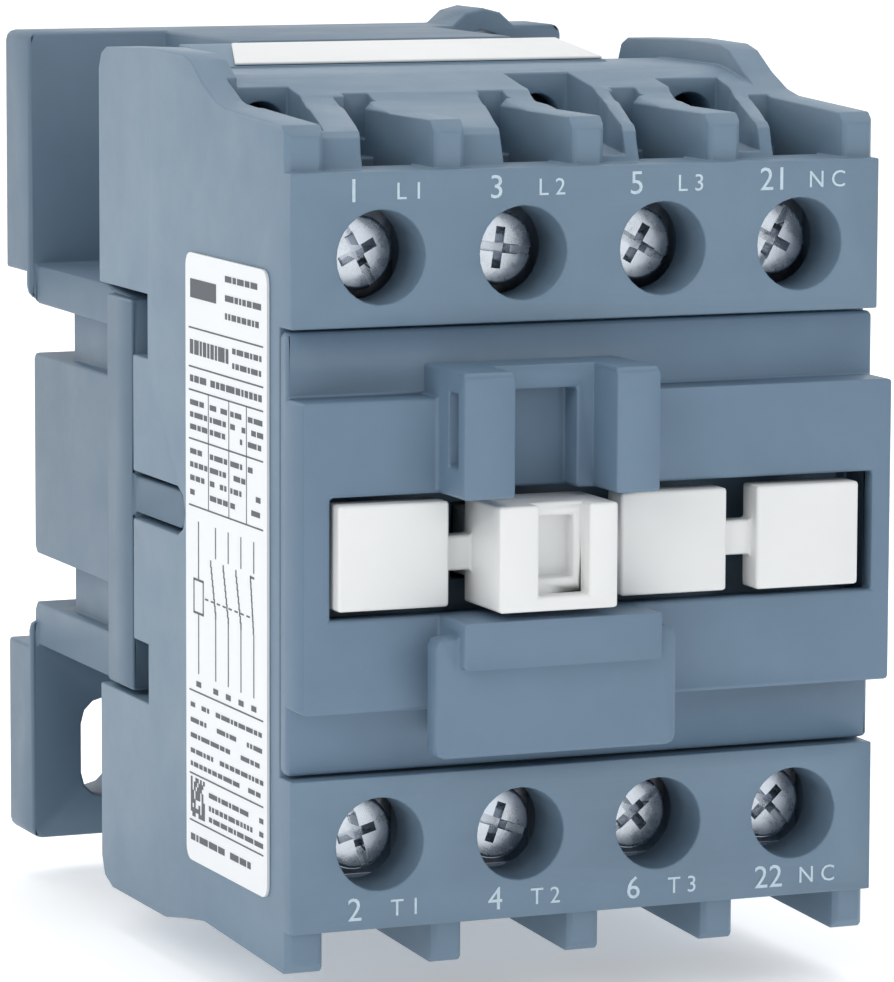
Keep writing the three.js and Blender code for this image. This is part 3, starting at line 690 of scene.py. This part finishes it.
for j in range(8):
    ink(-61.5 + 1.5 * j, -60.7 + 1.5 * j, -6.65, -6.5)
for z in (-16.6, -18.0, -19.4, -20.8, -22.0):
    dashes(YA + 0.3, YB, z, 0.42, 0.85)
for a in range(9):
    for b in range(9):
        if RNG.random() < 0.55:
            ink(-62.1 - 0.4 * a, -61.7 - 0.4 * a, -26.8 + 0.4 * b, -26.4 + 0.4 * b)
for z in (-24.2, -25.4, -26.4):
    dashes(-60.6, YB, z, 0.45, 0.9)
dashes(YA + 0.3, -50, -28.7, 0.6, 0.9)
put("label_print", mesh_of("label_print", *bag), M_INK, "housing", 20)


def lettering(items, name, mat, thick=0.04):
    out = []
    for text, x, z, size in items:
        cu = bpy.data.curves.new("t", "FONT")
        cu.body, cu.size, cu.align_x, cu.align_y = text, size, "CENTER", "CENTER"
        cu.extrude = thick
        cu.resolution_u = 3
        ob = bpy.data.objects.new("t", cu)
        scene.collection.objects.link(ob)
        dg = bpy.context.evaluated_depsgraph_get()
        me = bpy.data.meshes.new_from_object(ob.evaluated_get(dg))
        bpy.data.objects.remove(ob)
        me.transform(Matrix.Scale(MM, 4))
        me.transform(Matrix.Rotation(math.pi / 2, 4, "X"))
        me.transform(Matrix.Translation((x * MM, -71.5 * MM, z * MM)))
        out.append(me)
    put(name, joined(name, *out), mat, "housing", 30)


POLE = (-19.65, -6.35, 6.95, 20.25)
marks = []
for x, a, b, c, d in zip(POLE, ("1", "3", "5", "21"), ("L 1", "L 2", "L 3", "N C"), ("2", "4", "6", "22"), ("T 1", "T 2", "T 3", "N C")):
    marks += [(a, x - 2.6, 31.2, 2.9), (b, x + 2.6, 31.1, 2.1), (c, x - 2.4, -31.45, 2.9), (d, x + 2.4, -31.5, 2.1)]
lettering(marks, "terminal_numbers", M_MARK)


# ---------------------------------------------------------------- stage
def stage():
    lo, hi = cad_box
    z0 = lo[2] - 0.0004
    # floor that curves up into a backdrop
    prof = [(-1.6, z0)]
    r, y_back = 0.5, 1.3
    prof.append((y_back - r, z0))
    for i in range(1, 25):
        a = math.radians(90 * i / 24)
        prof.append((y_back - r + r * math.sin(a), z0 + r - r * math.cos(a)))
    prof.append((y_back, z0 + 2.2))
    bm = bmesh.new()
    rows = []
    for x in (-2.4, 2.4):
        rows.append([bm.verts.new((x, y, z)) for y, z in prof])
    for i in range(len(prof) - 1):
        f = bm.faces.new((rows[0][i], rows[1][i], rows[1][i + 1], rows[0][i + 1]))
        f.smooth = True
    me = bpy.data.meshes.new("floor")
    bm.to_mesh(me)
    bm.free()
    o = bpy.data.objects.new("floor", me)
    scene.collection.objects.link(o)
    m = Mat("floor_paper")
    a = m.noise(14.0, 2.0)
    m.set("Base Color", m.ramp(a, [(0.3, srgb(246, 246, 246)), (0.7, srgb(250, 250, 250))]))
    m.set("Roughness", m.rng(a, 0.3, 0.7, 0.7, 0.8))
    m.set("Emission Color", (1.0, 1.0, 1.0, 1.0)).set("Emission Strength", 0.34)
    me.materials.append(m.m)

    def area(name, loc, target, size, power, color=(1, 1, 1)):
        l = bpy.data.lights.new(name, "AREA")
        l.shape = "RECTANGLE"
        l.size, l.size_y = size
        l.energy = power
        l.color = color
        ob = bpy.data.objects.new(name, l)
        ob.location = loc
        ob.rotation_euler = (Vector(target) - Vector(loc)).to_track_quat("-Z", "Y").to_euler()
        scene.collection.objects.link(ob)

    area("key", (-0.85, -0.55, 0.75), (0, -0.03, 0), (0.8, 0.8), 4.7, (1.0, 0.99, 0.97))
    area("front", (0.35, -1.2, 0.35), (0, -0.03, 0), (0.9, 0.7), 2.2, (0.97, 0.985, 1.0))
    area("top", (0.1, 0.1, 1.0), (0, 0, 0), (1.1, 0.9), 4.5)
    area("rim", (0.9, 0.25, 0.4), (0, 0, 0), (0.5, 0.8), 1.5)
    w = bpy.data.worlds.new("studio")
    scene.world = w
    w.use_nodes = True
    bg = w.node_tree.nodes.get("Background")
    bg.inputs[0].default_value = (0.93, 0.96, 1.0, 1.0)
    bg.inputs[1].default_value = 0.42


stage()
